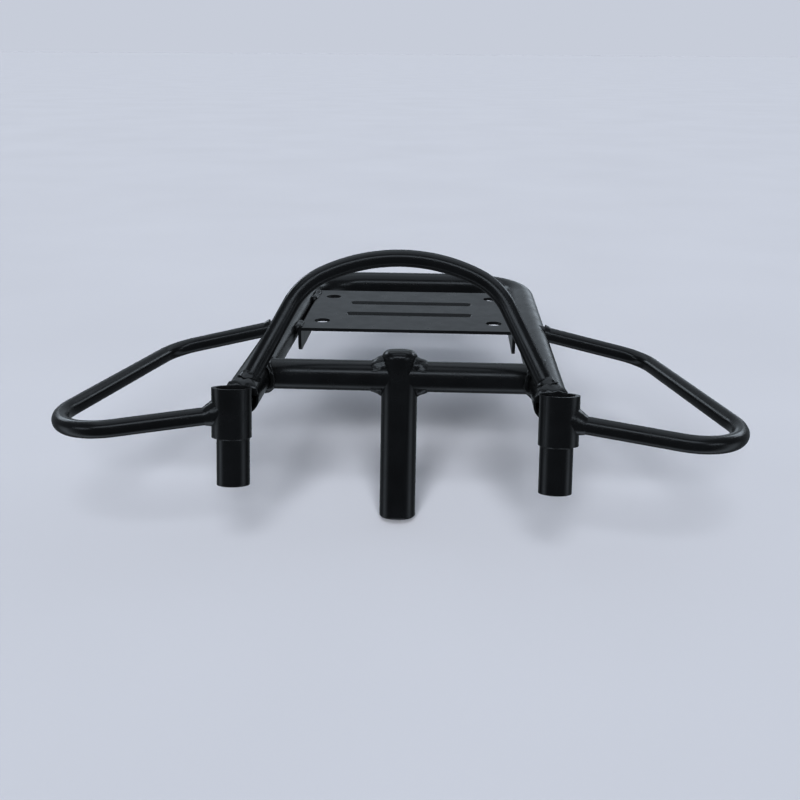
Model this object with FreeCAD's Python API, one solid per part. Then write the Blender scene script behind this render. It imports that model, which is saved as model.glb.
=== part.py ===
import FreeCAD, Part
import math
import os

# Rear grab rail of a scooter: a welded steel tube hoop with a grab arch, two side handles,
# a folded carrier plate, and two stems and a centre post that go down to the scooter's frame.
# Millimetres. X to the right, Y to the rear, Z square to the carrier plate.
# The origin is at the foot of the centre post, on the post's axis.

V = FreeCAD.Vector

# Stock
hoop_od = 24.0
hoop_wall = 1.5
cross_od = 22.0
cross_wall = 1.5
post_od = 26.0
post_wall = 2.0
stem_od = 22.0
stem_wall = 1.5
sleeve_od = 26.5
bar_od = 12.0
sheet = 2.5

# Post, stems and sleeves all lean to the rear at the top, in degrees from the plate's normal
lean = 12.0

# Centre post, measured along its axis
post_drop = 103.0
post_rise = 19.2
post_crown = 6.5
post_bevel = 1.2

# Stems and sleeves, lengths measured along the lean from the hoop's plane
stem_half = 107.0
sleeve_shift = 1.0
sleeve_ahead = 66.0
sleeve_above = 10.5
sleeve_below = 22.5
stem_below = 54.5
stem_recess = 0.8
slip = 0.1

# Hoop: half widths at the stems and at the rear run, which lies behind the cross tube.
# The legs stop a little behind the stems' axes, and above the sleeves' rims their ends are rounded and closed.
hoop_half_front = 104.0
hoop_half_rear = 101.0
hoop_reach = 294.0
hoop_bend = 55.0
leg_stop = 11.0
nose_behind = 23.7
nose_radius = 11.0
nose_wall = 3.0

# Grab arch, in its own plane, which leans to the rear from the hoop's plane
arch_behind = 22.5
arch_outset = 1.5
arch_lean = 32.0
arch_height = 99.0
arch_leg_angle = 65.0
arch_corner = 50.0
arch_crown = 118.0

# Side handles: front end on the sleeve, outer corner, knee, and rear end on the hoop's leg
handle_drop = 6.3
handle_half = 247.0
handle_ahead = 28.5
handle_sink = 19.5
handle_bend = 40.0
knee_half = 192.0
knee_behind = 171.0
knee_sink = 14.6
knee_bend = 25.0
handle_end_behind = 174.5
handle_end_rise = 6.0

# Carrier plate: its top is above the hoop's plane, and its flanges are folded down beside the legs
plate_half = 89.0
plate_depth = 135.0
plate_behind = 104.0
plate_rise = 6.0
flange_depth = 19.5
fold_radius = 3.0
flange_round = 4.0
hole_diameter = 13.0
hole_half = 72.0
hole_front = 25.0
hole_pitch = 86.0
groove_half = 55.0
groove_width = 12.0
groove_depth = 1.6
groove_slope = 1.5
groove_front = 50.0
groove_pitch = 39.0

# Weld beads
bar_weld = 3.0
rear_weld = 1.6
sleeve_weld = 4.8
sleeve_weld_rise = 2.0
tube_weld = 3.2
leg_weld = 1.2
weld_lip = 0.3
weld_root = 1.0
shoulder_start = 9.0
shoulder_reach = 20.0
shoulder_swell = 6.0
stem_bead = 1.1
plate_bead = 3.8
plate_bead_sink = 2.2
plate_bead_front = 20.0
plate_bead_rear = 34.0

# Places that follow from the sizes above
lean_up = V(0, math.sin(math.radians(lean)), math.cos(math.radians(lean)))
cross_point = lean_up * post_drop
rack_z = cross_point.z
cross_y = cross_point.y
stem_y = cross_y - sleeve_ahead
rear_y = cross_y + hoop_reach
plate_front = cross_y + plate_behind
plate_rear = plate_front + plate_depth
plate_top = rack_z + plate_rise
sleeve_half = stem_half + sleeve_shift

# How near an edge lies to a level to be picked for a round
close = 1e-6


def leg_x(y):
    """Half width of the hoop at its legs, which close in a little to the rear."""
    share = (y - stem_y) / (rear_y - stem_y)
    return hoop_half_front + (hoop_half_rear - hoop_half_front) * share


def rounded_path(points, radii):
    """Straight runs through the points, with a tangent arc at each inner point."""
    edges = []
    start = points[0]
    for before, corner, after, radius in zip(points, points[1:], points[2:], radii):
        back = (before - corner).normalize()
        ahead = (after - corner).normalize()
        half_angle = back.getAngle(ahead) / 2
        setback = radius / math.tan(half_angle)
        bisector = (back + ahead).normalize()
        middle = corner + bisector * (radius / math.sin(half_angle) - radius)
        enter = corner + back * setback
        leave = corner + ahead * setback
        edges.append(Part.LineSegment(start, enter).toShape())
        edges.append(Part.Arc(enter, middle, leave).toShape())
        start = leave
    edges.append(Part.LineSegment(start, points[-1]).toShape())
    return edges


def bar(edges, diameter):
    """A round bar along a chain of straight and arc edges."""
    pieces = []
    for edge in edges:
        start = edge.valueAt(edge.FirstParameter)
        heading = edge.tangentAt(edge.FirstParameter)
        section = Part.Face(Part.Wire(Part.makeCircle(diameter / 2, start, heading)))
        if isinstance(edge.Curve, Part.Circle):
            turn = math.degrees(edge.LastParameter - edge.FirstParameter)
            pieces.append(section.revolve(edge.Curve.Center, edge.Curve.Axis, turn))
        else:
            pieces.append(section.extrude(heading * edge.Length))
    return pieces[0].multiFuse(pieces[1:]).removeSplitter()


def rod(start, end, diameter):
    """A straight round bar between two points."""
    return Part.makeCylinder(diameter / 2, (end - start).Length, start, end - start)


def mirrored(shape):
    """The same piece on the other side."""
    return shape.mirror(V(0, 0, 0), V(1, 0, 0))


def hoop_path():
    end_y = stem_y + leg_stop
    points = [V(-leg_x(end_y), end_y, rack_z), V(-hoop_half_rear, rear_y, rack_z),
              V(hoop_half_rear, rear_y, rack_z), V(leg_x(end_y), end_y, rack_z)]
    return rounded_path(points, [hoop_bend, hoop_bend])


def arch_path():
    """Straight legs, a bend each side and a shallow crown, drawn flat and then leant back."""
    foot_y = stem_y + arch_behind
    foot_x = leg_x(foot_y) + arch_outset
    angle = math.radians(arch_leg_angle)
    along = V(-math.cos(angle), math.sin(angle), 0)
    inward = V(-math.sin(angle), -math.cos(angle), 0)
    crown_centre = V(0, arch_height - arch_crown, 0)
    # The bend touches the leg and, from inside, the crown
    offset = V(foot_x, 0, 0) + inward * arch_corner - crown_centre
    half_b = offset.dot(along)
    reach = -half_b + math.sqrt(half_b ** 2 - offset.dot(offset) + (arch_crown - arch_corner) ** 2)
    leg_end = V(foot_x, 0, 0) + along * reach
    bend_centre = leg_end + inward * arch_corner
    outward = (bend_centre - crown_centre).normalize()
    crown_end = crown_centre + outward * arch_crown
    bend_middle = bend_centre + (outward - inward).normalize() * arch_corner
    tilt = math.radians(arch_lean)

    def place(p, side):
        return V(side * p.x, foot_y + p.y * math.sin(tilt), rack_z + p.y * math.cos(tilt))

    foot = V(foot_x, 0, 0)
    apex = V(0, arch_height, 0)
    chain = [Part.LineSegment(place(foot, -1), place(leg_end, -1)),
             Part.Arc(place(leg_end, -1), place(bend_middle, -1), place(crown_end, -1)),
             Part.Arc(place(crown_end, -1), place(apex, 1), place(crown_end, 1)),
             Part.Arc(place(crown_end, 1), place(bend_middle, 1), place(leg_end, 1)),
             Part.LineSegment(place(leg_end, 1), place(foot, 1))]
    return [curve.toShape() for curve in chain]


def handle_points():
    """Corner points of the right side handle, from the sleeve round to the hoop's leg."""
    front = V(sleeve_half, stem_y, rack_z) - lean_up * handle_drop
    corner = V(handle_half, stem_y - handle_ahead, rack_z - handle_sink)
    knee = V(knee_half, stem_y + knee_behind, rack_z - knee_sink)
    end_y = stem_y + handle_end_behind
    end = V(leg_x(end_y), end_y, rack_z + handle_end_rise)
    return [front, corner, knee, end]


def centre_post():
    """A tube closed and rounded at the top and open at the foot."""
    radius = post_od / 2
    length = post_drop + post_rise
    outer = Part.makeCylinder(radius, length)
    top_edge = [e for e in outer.Edges if abs(e.BoundBox.ZMin - length) < close]
    foot_edge = [e for e in outer.Edges if e.BoundBox.ZMax < close]
    outer = outer.makeFillet(post_crown, top_edge).makeChamfer(post_bevel, foot_edge)
    bore = Part.makeCylinder(radius - post_wall, length - post_crown)
    return lean_back(outer.cut(bore), V(0, 0, 0))


def lean_back(shape, foot):
    """Leans a piece that was drawn upright on the origin, and sets it on its foot."""
    shape.Placement = FreeCAD.Placement(foot, FreeCAD.Rotation(V(-1, 0, 0), lean))
    return shape


def stem_foot(axis_half):
    """Where a stem's or sleeve's axis passes the level of the stem's lower end."""
    return V(axis_half, stem_y, rack_z) - lean_up * stem_below


def stem():
    length = stem_below + sleeve_above - stem_recess
    outer = Part.makeCylinder(stem_od / 2, length)
    bore = Part.makeCylinder(stem_od / 2 - stem_wall, length)
    return lean_back(outer.cut(bore), stem_foot(stem_half))


def sleeve_bar(extra, swell):
    """The sleeve's outside as a solid bar, longer by extra at each end and thicker by a swell all round."""
    start = stem_below - sleeve_below - extra
    length = sleeve_above + sleeve_below + 2 * extra
    outside = Part.makeCylinder(sleeve_od / 2 + swell, length, V(0, 0, start))
    return lean_back(outside, stem_foot(sleeve_half))


def sleeve():
    """A collar whose bore fits the stem, with its outside set a little outboard."""
    length = stem_below + sleeve_above
    bore = lean_back(Part.makeCylinder(stem_od / 2 + slip, length), stem_foot(stem_half))
    return sleeve_bar(0, 0).cut(bore)


def stem_weld():
    """A bead under the sleeve, round the stem."""
    inner = stem_od / 2
    low = stem_below - sleeve_below - stem_bead
    ring = Part.makeCone(inner, inner + stem_bead, stem_bead, V(0, 0, low))
    ring = ring.cut(Part.makeCylinder(inner, stem_bead, V(0, 0, low)))
    return lean_back(ring, stem_foot(stem_half))


def bar_collar(seat, heading, seat_od, weld):
    """A cone of weld metal round a bar that stands on a tube. The seat is on the tube's axis."""
    base = bar_od / 2 + weld
    near = math.sqrt((seat_od / 2) ** 2 - base ** 2)
    far = seat_od / 2 + weld
    heading = V(heading).normalize()
    return Part.makeCone(base, bar_od / 2 + weld_lip, far - near, seat + heading * near, heading)


def sleeve_collar(seat, heading):
    """Weld metal round a handle's front end on the sleeve, more of it above the bar than below."""
    base = bar_od / 2 + sleeve_weld
    heading = V(heading).normalize()
    near = seat + heading * math.sqrt((sleeve_od / 2) ** 2 - base ** 2) + lean_up * sleeve_weld_rise
    far = seat + heading * (sleeve_od / 2 + sleeve_weld)
    outlines = [Part.makeCircle(base, near, heading), Part.makeCircle(bar_od / 2 + weld_lip, far, heading)]
    return Part.makeLoft([Part.Wire(outline) for outline in outlines], True, True)


def shoulder_weld():
    """Weld metal that fills the corners above and below the cross tube, at the post."""
    chord = math.sqrt((post_od / 2) ** 2 - shoulder_start ** 2)
    near = Part.Ellipse(V(0, 0, shoulder_start), cross_od / 2 + shoulder_swell, chord).toShape()
    far = Part.makeCircle(cross_od / 2 + weld_lip, V(0, 0, shoulder_reach))
    flare = Part.makeLoft([Part.Wire(near), Part.Wire(far)], True, True)
    turn = FreeCAD.Rotation(V(0, 0, 1), V(0, -1, 0), V(1, 0, 0), "ZXY")
    flare.Placement = FreeCAD.Placement(cross_point, turn)
    return flare


def stadium(half_length, width, centre):
    """A slot outline along X, with round ends."""
    run = half_length - width / 2
    side = width / 2
    corners = [centre + V(sx * run, sy * side, 0) for sx, sy in ((-1, -1), (1, -1), (1, 1), (-1, 1))]
    return Part.Wire([Part.LineSegment(corners[0], corners[1]).toShape(),
                      Part.Arc(corners[1], centre + V(half_length, 0, 0), corners[2]).toShape(),
                      Part.LineSegment(corners[2], corners[3]).toShape(),
                      Part.Arc(corners[3], centre - V(half_length, 0, 0), corners[0]).toShape()])


def groove(y, top):
    """A pressed groove with sloping sides, as a solid whose mouth is at the given height."""
    mouth = stadium(groove_half, groove_width, V(0, y, top))
    floor = stadium(groove_half - groove_slope, groove_width - 2 * groove_slope, V(0, y, top - groove_depth))
    return Part.makeLoft([mouth, floor], True, True)


def plate_block(inset, radius):
    """The folded plate's outside, or with an inset its inside, as a solid block."""
    height = flange_depth - inset
    block = Part.makeBox(2 * (plate_half - inset), plate_depth, height,
                         V(inset - plate_half, plate_front, plate_top - flange_depth))
    folds = [e for e in block.Edges
             if e.BoundBox.ZMin > plate_top - inset - close and e.BoundBox.YLength > plate_depth / 2]
    return block.makeFillet(radius, folds)


def carrier_plate():
    """A sheet folded down at both sides, with two pressed grooves and four holes."""
    plate = plate_block(0, fold_radius).cut(plate_block(sheet, fold_radius - sheet))
    low = plate_top - flange_depth
    low_corners = [e for e in plate.Edges
                   if e.BoundBox.ZMax < low + close and abs(e.BoundBox.XLength - sheet) < close]
    plate = plate.makeFillet(flange_round, low_corners)
    grooves = [plate_front + groove_front + i * groove_pitch for i in range(2)]
    plate = plate.multiFuse([groove(y, plate_top - sheet) for y in grooves])
    cuts = [groove(y, plate_top) for y in grooves]
    for x in (-hole_half, hole_half):
        for i in range(2):
            centre = V(x, plate_front + hole_front + i * hole_pitch, plate_top - sheet)
            cuts.append(Part.makeCylinder(hole_diameter / 2, sheet, centre))
    return plate.cut(cuts).removeSplitter()


def capsule(start, end, radius):
    """A round bar with ball ends, from one revolved outline. The balls' centres are given."""
    along = (end - start).normalize()
    side = V(0, 0, 1) * radius
    diagonal = math.sqrt(0.5)
    tips = [start - along * radius, end + along * radius]
    outline = [Part.LineSegment(tips[1], tips[0]),
               Part.Arc(tips[0], start + (side - along * radius) * diagonal, start + side),
               Part.LineSegment(start + side, end + side),
               Part.Arc(end + side, end + (side + along * radius) * diagonal, tips[1])]
    half = Part.Face(Part.Wire([curve.toShape() for curve in outline]))
    return half.revolve(start, along, 360)


def thick_leg(start, end, weld):
    """A stretch of the right leg as a solid bar, thicker by the weld all round."""
    ends = [V(leg_x(y), y, rack_z) for y in (start, end)]
    return rod(ends[0], ends[1], hoop_od + 2 * weld)


def nose_roll(radius):
    """A bar across both legs, round which the upper corners of their front ends are rounded."""
    wide = hoop_half_front + hoop_od
    centre = V(-wide, stem_y + nose_behind, rack_z + hoop_od / 2 - nose_radius)
    return Part.makeCylinder(radius, 2 * wide, centre, V(1, 0, 0))


def nose_corner():
    """The block ahead of that bar's axis and above it."""
    wide = hoop_half_front + hoop_od
    low = V(-wide, stem_y, rack_z + hoop_od / 2 - nose_radius)
    return Part.makeBox(2 * wide, nose_behind, 2 * nose_radius, low)


def plate_weld(start, end, hoop_bar):
    """A bead laid in the groove between the plate's right fold and the hoop's leg."""
    flank = math.sqrt((hoop_od / 2) ** 2 - plate_rise ** 2)

    def in_groove(y):
        return V((plate_half - fold_radius + leg_x(y) - flank) / 2, y, plate_top - plate_bead_sink)

    bead = capsule(in_groove(start + plate_bead), in_groove(end - plate_bead), plate_bead)
    return bead.cut(hoop_bar).cut(plate_block(0, fold_radius))


def build():
    parts = {}
    hoop_edges = hoop_path()
    hoop_bar = bar(hoop_edges, hoop_od)
    hoop_bore = bar(hoop_edges, hoop_od - 2 * hoop_wall)
    sleeve_cope = sleeve_bar(hoop_od, 0)
    root_cope = sleeve_bar(hoop_od, weld_root)
    nose_waste = nose_corner().cut(nose_roll(nose_radius))
    root_waste = nose_corner().cut(nose_roll(nose_radius - weld_root))
    parts["main_hoop"] = hoop_bar.cut([hoop_bore, root_cope, mirrored(root_cope), root_waste])
    hoop_bar = hoop_bar.cut(nose_waste)
    parts["centre_post"] = centre_post()
    arch_edges = arch_path()
    arch_bar = bar(arch_edges, bar_od)
    parts["top_arch"] = arch_bar.cut(hoop_bar)
    parts["carrier_plate"] = carrier_plate()

    post_axis_top = lean_up * (post_drop + post_rise)
    post_bar = rod(V(0, 0, 0), post_axis_top, post_od)
    cross_end = cross_point + V(leg_x(cross_y), 0, 0)
    cross_bar = rod(cross_point, cross_end, cross_od)
    cross_bore = rod(cross_point, cross_end, cross_od - 2 * cross_wall)
    handle_chain = handle_points()
    handle_bar = bar(rounded_path(handle_chain, [handle_bend, knee_bend]), bar_od)
    arch_leg = arch_edges[-1]
    arch_foot = arch_leg.valueAt(arch_leg.LastParameter)

    # Pieces drawn on the right and mirrored to the left
    sided = {}
    sided["cross_tube"] = cross_bar.cut([cross_bore, post_bar, hoop_bar])
    sided["sleeve"] = sleeve()
    sided["stem"] = stem()
    sided["side_handle"] = handle_bar.cut([sleeve_cope, hoop_bar])
    sided["stem_weld"] = stem_weld()
    sided["post_weld"] = shoulder_weld().cut([cross_bar, post_bar])
    front_collar = sleeve_collar(handle_chain[0], handle_chain[1] - handle_chain[0])
    sided["handle_front_weld"] = front_collar.cut([handle_bar, sleeve_cope])
    rear_collar = bar_collar(handle_chain[3], handle_chain[2] - handle_chain[3], hoop_od, rear_weld)
    sided["handle_rear_weld"] = rear_collar.cut([handle_bar, hoop_bar])
    arch_rise = arch_leg.valueAt(arch_leg.FirstParameter) - arch_foot
    arch_collar = bar_collar(arch_foot, arch_rise, hoop_od, bar_weld)
    sided["arch_weld"] = arch_collar.cut([arch_bar, hoop_bar])
    thick_cross = rod(cross_point + V(hoop_half_rear / 2, 0, 0), cross_end, cross_od + 2 * tube_weld)
    cross_joint = thick_leg(cross_y - hoop_od, cross_y + hoop_od, tube_weld).common(thick_cross)
    sided["cross_weld"] = cross_joint.cut([hoop_bar, cross_bar])
    thick_sleeve = sleeve_bar(hoop_od / 2, weld_root + leg_weld)
    leg_joint = thick_leg(stem_y + leg_stop - leg_weld, stem_y + hoop_od, leg_weld).common(thick_sleeve)
    leg_end = thick_leg(stem_y, cross_y, 0)
    nose_cap = leg_end.common(nose_corner()).cut(nose_roll(nose_radius - nose_wall))
    sided["hoop_weld"] = leg_joint.fuse(nose_cap).cut([nose_waste, parts["main_hoop"], sleeve_cope])
    sided["plate_weld_front"] = plate_weld(plate_front, plate_front + plate_bead_front, hoop_bar)
    sided["plate_weld_rear"] = plate_weld(plate_rear - plate_bead_rear, plate_rear, hoop_bar)
    for name, shape in sided.items():
        parts["right_" + name] = shape
        parts["left_" + name] = mirrored(shape)
    return parts


os.makedirs("parts", exist_ok=True)
for node, shape in build().items():
    solid = shape.Solids[0]
    state = "valid" if solid.isValid() else "INVALID"
    print(node, len(shape.Solids), "solid", round(solid.Volume, 1), "mm3", state)
    solid.exportStep("parts/" + node + ".step")
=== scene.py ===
import math

import bmesh
import bpy
from mathutils import Matrix, Vector


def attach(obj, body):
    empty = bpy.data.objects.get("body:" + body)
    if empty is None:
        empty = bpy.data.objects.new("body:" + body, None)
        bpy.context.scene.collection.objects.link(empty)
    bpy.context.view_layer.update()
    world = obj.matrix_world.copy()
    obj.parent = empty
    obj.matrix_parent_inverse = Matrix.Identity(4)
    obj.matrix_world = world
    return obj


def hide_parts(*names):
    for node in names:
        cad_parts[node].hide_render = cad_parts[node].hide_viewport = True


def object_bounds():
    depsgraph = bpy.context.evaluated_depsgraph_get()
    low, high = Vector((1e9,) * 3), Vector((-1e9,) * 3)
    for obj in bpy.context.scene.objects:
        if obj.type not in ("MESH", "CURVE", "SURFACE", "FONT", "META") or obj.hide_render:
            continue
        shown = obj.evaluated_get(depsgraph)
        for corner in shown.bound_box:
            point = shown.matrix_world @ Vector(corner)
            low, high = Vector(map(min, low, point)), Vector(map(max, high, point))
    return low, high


# Looks of a scooter's rear grab rail: gloss black paint over tube, bar, sheet and weld metal.
# Lengths are in metres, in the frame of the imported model. Angles are in degrees.

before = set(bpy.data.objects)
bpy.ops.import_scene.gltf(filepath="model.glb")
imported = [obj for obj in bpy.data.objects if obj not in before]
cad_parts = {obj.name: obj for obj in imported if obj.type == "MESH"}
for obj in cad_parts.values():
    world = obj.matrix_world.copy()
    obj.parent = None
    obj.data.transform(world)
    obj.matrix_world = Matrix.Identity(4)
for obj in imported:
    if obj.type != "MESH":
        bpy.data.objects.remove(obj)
CAD_BOX = [list(corner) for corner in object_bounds()]

# Camera, fitted to the photograph. The picture's size and focal length are in pixels.
IMAGE_SIZE = 800
FOCAL_PIXELS = 1000
SENSOR_MILLIMETRES = 36.0
CAMERA_PLACE = Vector((0.0350, -0.6625, 0.3233))
CAMERA_PITCH = 19.37
CAMERA_YAW = 2.89
CAMERA_ROLL = 0.38
CLIP_NEAR = 0.01
CLIP_FAR = 200
VIEW_GAMMA = 0.8

# Floor and backdrop
FLOOR_COLOUR = (0.616, 0.634, 0.692)
FLOOR_SHADE = 0.97
FLOOR_REACH = 60.0
FLOOR_ROUGHNESS = 0.9
FLOOR_CLOUD_SCALE = 3.0
BACKDROP_COLOUR = (0.640, 0.672, 0.748)

# Soft lamps on the camera's side: elevation, bearing, strength, spread
KEY_LAMPS = (
    (24.5, -10, 2.15, 16),
    (24.5, 10, 2.15, 16),
    (51, 0, 1.15, 27),
)

# Cards that show in the paint: name, place, target, width, height, power
CARD_COLOUR = (0.82, 0.91, 1.0)
MIDDLE = (0, 0.1, 0.1)
CARDS = (
    ("front_card", (0, -1.5, 1.55), (0, 0.05, 0.1), 3.0, 0.5, 26),
    ("top_card", (0, 0.7, 2.6), MIDDLE, 3.6, 3.4, 54),
    ("back_card", (0, 4.0, 1.6), MIDDLE, 4.5, 2.4, 10),
    ("low_right_card", (0.95, 3.0, 0.26), (0.1, 0.1, 0.12), 1.2, 0.5, 1.7),
    ("rear_corner_card", (-2.2, 2.4, 1.5), MIDDLE, 1.4, 0.7, 14),
    ("front_corner_card", (-2.6, -1.7, 1.2), MIDDLE, 1.4, 0.7, 12),
    ("rear_corner_card", (2.2, 2.4, 1.5), MIDDLE, 1.4, 0.7, 14),
    ("front_corner_card", (2.6, -1.7, 1.2), MIDDLE, 1.4, 0.7, 12),
)

# Room light: a glow that grows to the rear and upwards, and a low strip at each side.
# A span is a range of directions, and the strength beside it holds at its two ends.
GLOW_UPWARD_SHARE = 0.5
GLOW_SPAN, GLOW_STRENGTH = (-0.3, 1.0), (0.10, 0.42)
STRIP_FORWARD = 0.1
STRIP_SPAN, STRIP_STRENGTH = (0.03, 0.4), (1.8, 0.0)
STRIP_RISE_SPAN, STRIP_RISE_SHARE = (-0.05, 0.15), (1.0, 0.0)

# Paint
PAINT_COLOUR = (0.0037, 0.0042, 0.0049)
PLATE_COLOUR = (0.0060, 0.0066, 0.0075)
MOTTLE_SCALE = 38.0
MOTTLE_SPAN = (0.35, 0.65)
MOTTLE_LIGHTER = 1.5
GLOSS_SCALE = 90.0
NOISE_SPAN = (0.3, 0.7)

# Weld metal: which beads are lumpy, and the size of the lumps
WELD_WORD = "weld"
LUMPY_WELDS = ("arch_weld", "hoop_weld", "cross_weld", "plate_weld", "post_weld")
LUMP_GRAIN = 0.0006
LUMP_WIDTH = 0.0075
LUMP_HEIGHT = 0.0023
LUMP_LEVEL = 0.46
CRUMB_FACES = 300


def node_tree(owner):
    """The empty node tree of a material or world."""
    owner.use_nodes = True
    tree = owner.node_tree
    tree.nodes.clear()
    return tree


def add(tree, kind, **inputs):
    """Adds a shader node and sets its named input sockets."""
    node = tree.nodes.new(kind)
    for name, value in inputs.items():
        node.inputs[name.replace("_", " ")].default_value = value
    return node


def ramp(tree, source, span, values=(0.0, 1.0)):
    """Maps a grey value from one range to another."""
    node = tree.nodes.new("ShaderNodeMapRange")
    sockets = ("From Min", "From Max", "To Min", "To Max")
    for name, value in zip(sockets, (*span, *values)):
        node.inputs[name].default_value = value
    tree.links.new(source, node.inputs["Value"])
    return node.outputs["Result"]


def noise(tree, scale, detail):
    """Noise in the object's own space, so that it stays on the surface."""
    place = tree.nodes.new("ShaderNodeTexCoord")
    node = add(tree, "ShaderNodeTexNoise", Scale=scale, Detail=detail)
    tree.links.new(place.outputs["Object"], node.inputs["Vector"])
    return node.outputs["Fac"]


def tinted(tree, grey, dark, light):
    """A colour between two shades, chosen by a grey value."""
    mix = tree.nodes.new("ShaderNodeMix")
    mix.data_type = "RGBA"
    mix.inputs["A"].default_value = (*dark, 1)
    mix.inputs["B"].default_value = (*light, 1)
    tree.links.new(grey, mix.inputs["Factor"])
    return mix.outputs["Result"]


def surface(tree, shader):
    """Joins a shader to the material's output."""
    out = tree.nodes.new("ShaderNodeOutputMaterial")
    tree.links.new(shader.outputs["BSDF"], out.inputs["Surface"])


def paint(name, colour, roughness, specular, peel_scale, peel_height):
    """Sprayed paint: a slightly mottled colour, uneven gloss and a fine bump."""
    material = bpy.data.materials.new(name)
    tree = node_tree(material)
    shader = add(tree, "ShaderNodeBsdfPrincipled", Specular_IOR_Level=specular)
    mottle = ramp(tree, noise(tree, MOTTLE_SCALE, detail=4.0), MOTTLE_SPAN)
    lighter = tuple(MOTTLE_LIGHTER * c for c in colour)
    tree.links.new(tinted(tree, mottle, colour, lighter), shader.inputs["Base Color"])
    gloss = ramp(tree, noise(tree, GLOSS_SCALE, detail=3.0), NOISE_SPAN, roughness)
    tree.links.new(gloss, shader.inputs["Roughness"])
    bump = add(tree, "ShaderNodeBump", Strength=1.0, Distance=peel_height)
    tree.links.new(noise(tree, peel_scale, detail=2.0), bump.inputs["Height"])
    tree.links.new(bump.outputs["Normal"], shader.inputs["Normal"])
    surface(tree, shader)
    return material


def dress(obj, material):
    """Gives an object one material."""
    obj.data.materials.clear()
    obj.data.materials.append(material)


def drop_crumbs(mesh):
    """Deletes the loose crumbs that remeshing leaves where a bead runs out thin."""
    work = bmesh.new()
    work.from_mesh(mesh)
    crumbs = []
    for seed in work.faces:
        if seed.tag:
            continue
        seed.tag = True
        island = [seed]
        for face in island:
            for edge in face.edges:
                for other in edge.link_faces:
                    if not other.tag:
                        other.tag = True
                        island.append(other)
        if len(island) < CRUMB_FACES:
            crumbs.extend(island)
    bmesh.ops.delete(work, geom=crumbs, context="FACES")
    work.to_mesh(mesh)
    work.free()


def weld_metal(name, node):
    """A bead with the uneven lumps that weld metal has. It stands for the bead's plain solid."""
    piece = bpy.data.objects.new(name + "_metal", node.data.copy())
    piece.matrix_world = node.matrix_world
    bpy.context.collection.objects.link(piece)
    even = piece.modifiers.new("even", "REMESH")
    even.mode = "VOXEL"
    even.voxel_size = LUMP_GRAIN
    lumps = piece.modifiers.new("lumps", "DISPLACE")
    lumps.texture = bpy.data.textures.new(name + "_lumps", "CLOUDS")
    lumps.texture.noise_scale = LUMP_WIDTH
    lumps.texture.noise_depth = 1
    lumps.texture_coords = "LOCAL"
    lumps.strength = LUMP_HEIGHT
    lumps.mid_level = LUMP_LEVEL
    shaped = piece.evaluated_get(bpy.context.evaluated_depsgraph_get())
    piece.data = bpy.data.meshes.new_from_object(shaped)
    piece.modifiers.clear()
    drop_crumbs(piece.data)
    piece.data.shade_smooth()
    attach(piece, "root")
    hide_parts(name)
    return piece


def pale_floor(level):
    """A plain pale floor that reaches to the horizon. It stays out of the paint's reflections."""
    corners = ((-1, -1), (1, -1), (1, 1), (-1, 1))
    points = [(x * FLOOR_REACH, y * FLOOR_REACH, level) for x, y in corners]
    mesh = bpy.data.meshes.new("floor")
    mesh.from_pydata(points, [], [(0, 1, 2, 3)])
    floor = bpy.data.objects.new("floor", mesh)
    bpy.context.collection.objects.link(floor)
    material = bpy.data.materials.new("pale_floor")
    tree = node_tree(material)
    shader = add(tree, "ShaderNodeBsdfPrincipled", Roughness=FLOOR_ROUGHNESS, Specular_IOR_Level=0.0)
    clouded = ramp(tree, noise(tree, FLOOR_CLOUD_SCALE, detail=2.0), NOISE_SPAN)
    dimmer = tuple(FLOOR_SHADE * c for c in FLOOR_COLOUR)
    tree.links.new(tinted(tree, clouded, dimmer, FLOOR_COLOUR), shader.inputs["Base Color"])
    surface(tree, shader)
    dress(floor, material)
    floor.visible_glossy = False


def key_light(elevation, bearing, strength, spread):
    """A soft lamp that lights everything but doesn't show in the paint."""
    data = bpy.data.lights.new("key", "SUN")
    data.angle = math.radians(spread)
    data.energy = strength
    light = bpy.data.objects.new("key", data)
    light.rotation_euler = (math.radians(90 - elevation), 0, math.radians(bearing))
    light.visible_glossy = False
    bpy.context.collection.objects.link(light)


def reflector(name, place, target, width, height, power):
    """A softbox that shows only as a reflection in the paint."""
    data = bpy.data.lights.new(name, "AREA")
    data.shape = "RECTANGLE"
    data.size = width
    data.size_y = height
    data.energy = power
    data.color = CARD_COLOUR
    light = bpy.data.objects.new(name, data)
    light.location = place
    light.rotation_mode = "QUATERNION"
    light.rotation_quaternion = (Vector(target) - Vector(place)).to_track_quat("-Z", "Y")
    light.visible_diffuse = False
    light.visible_camera = False
    bpy.context.collection.objects.link(light)


def math_node(tree, operation, first, second):
    """A sum, product or other step of two values, each a socket or a number."""
    node = tree.nodes.new("ShaderNodeMath")
    node.operation = operation
    for socket, value in zip(node.inputs, (first, second)):
        if isinstance(value, (int, float)):
            socket.default_value = value
        else:
            tree.links.new(value, socket)
    return node.outputs[0]


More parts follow.
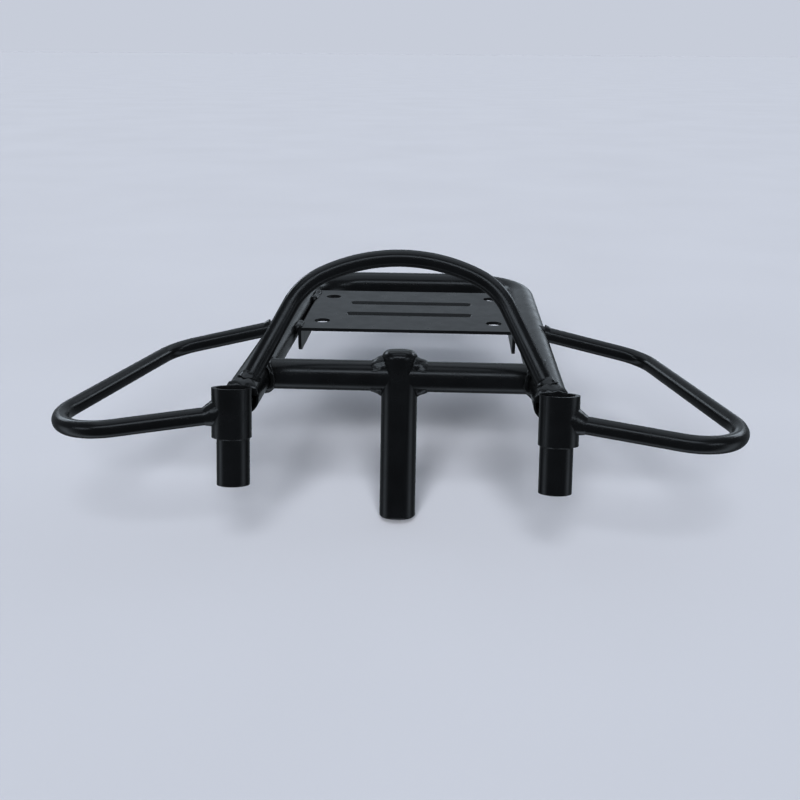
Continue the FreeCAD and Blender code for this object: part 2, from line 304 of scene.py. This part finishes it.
def room_light():
    """A soft room, brighter behind and above. The camera sees a plain backdrop instead."""
    world = bpy.data.worlds.new("room")
    bpy.context.scene.world = world
    tree = node_tree(world)
    place = tree.nodes.new("ShaderNodeTexCoord")
    parts = tree.nodes.new("ShaderNodeSeparateXYZ")
    tree.links.new(place.outputs["Generated"], parts.inputs["Vector"])
    to_rear, up = parts.outputs["Y"], parts.outputs["Z"]
    upward = math_node(tree, "MULTIPLY", up, GLOW_UPWARD_SHARE)
    rearward = math_node(tree, "ADD", upward, to_rear)
    glow = ramp(tree, rearward, GLOW_SPAN, GLOW_STRENGTH)
    off_side = math_node(tree, "ABSOLUTE", math_node(tree, "ADD", to_rear, STRIP_FORWARD), 0.0)
    across = ramp(tree, off_side, STRIP_SPAN, STRIP_STRENGTH)
    low = ramp(tree, up, STRIP_RISE_SPAN, STRIP_RISE_SHARE)
    strip = math_node(tree, "MULTIPLY", across, low)
    lit = add(tree, "ShaderNodeBackground", Color=(*CARD_COLOUR, 1))
    tree.links.new(math_node(tree, "ADD", glow, strip), lit.inputs["Strength"])
    seen = add(tree, "ShaderNodeBackground", Color=(*BACKDROP_COLOUR, 1))
    path = tree.nodes.new("ShaderNodeLightPath")
    both = tree.nodes.new("ShaderNodeMixShader")
    tree.links.new(path.outputs["Is Camera Ray"], both.inputs[0])
    tree.links.new(lit.outputs["Background"], both.inputs[1])
    tree.links.new(seen.outputs["Background"], both.inputs[2])
    out = tree.nodes.new("ShaderNodeOutputWorld")
    tree.links.new(both.outputs["Shader"], out.inputs["Surface"])


def camera():
    """The photograph's camera."""
    data = bpy.data.cameras.new("camera")
    data.sensor_width = SENSOR_MILLIMETRES
    data.lens = SENSOR_MILLIMETRES * FOCAL_PIXELS / IMAGE_SIZE
    data.clip_start = CLIP_NEAR
    data.clip_end = CLIP_FAR
    pitch, yaw, roll = (math.radians(a) for a in (CAMERA_PITCH, CAMERA_YAW, CAMERA_ROLL))
    along = math.cos(pitch)
    ahead = Vector((-math.sin(yaw) * along, math.cos(yaw) * along, -math.sin(pitch)))
    level = Vector((math.cos(yaw), math.sin(yaw), 0))
    upright = level.cross(ahead)
    right = level * math.cos(roll) + upright * math.sin(roll)
    up = upright * math.cos(roll) - level * math.sin(roll)
    turn = Matrix((right, up, -ahead)).transposed()
    shot = bpy.data.objects.new("camera", data)
    shot.matrix_world = Matrix.Translation(CAMERA_PLACE) @ turn.to_4x4()
    bpy.context.collection.objects.link(shot)
    bpy.context.scene.camera = shot


gloss_black = paint("gloss_black_paint", PAINT_COLOUR, roughness=(0.2, 0.29), specular=0.29,
                    peel_scale=420.0, peel_height=0.000012)
plate_black = paint("plate_black_paint", PLATE_COLOUR, roughness=(0.27, 0.33), specular=0.27,
                    peel_scale=520.0, peel_height=0.000004)
weld_black = paint("weld_black_paint", PAINT_COLOUR, roughness=(0.19, 0.28), specular=0.4,
                   peel_scale=260.0, peel_height=0.0004)

for name, node in list(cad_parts.items()):
    if any(word in name for word in LUMPY_WELDS):
        dress(node, weld_black)
        dress(weld_metal(name, node), weld_black)
    elif WELD_WORD in name:
        dress(node, weld_black)
    elif name == "carrier_plate":
        dress(node, plate_black)
    else:
        dress(node, gloss_black)

pale_floor(CAD_BOX[0][2])
room_light()
for lamp in KEY_LAMPS:
    key_light(*lamp)
for card in CARDS:
    reflector(*card)
bpy.context.scene.view_settings.view_transform = "Standard"
bpy.context.scene.view_settings.gamma = VIEW_GAMMA
camera()
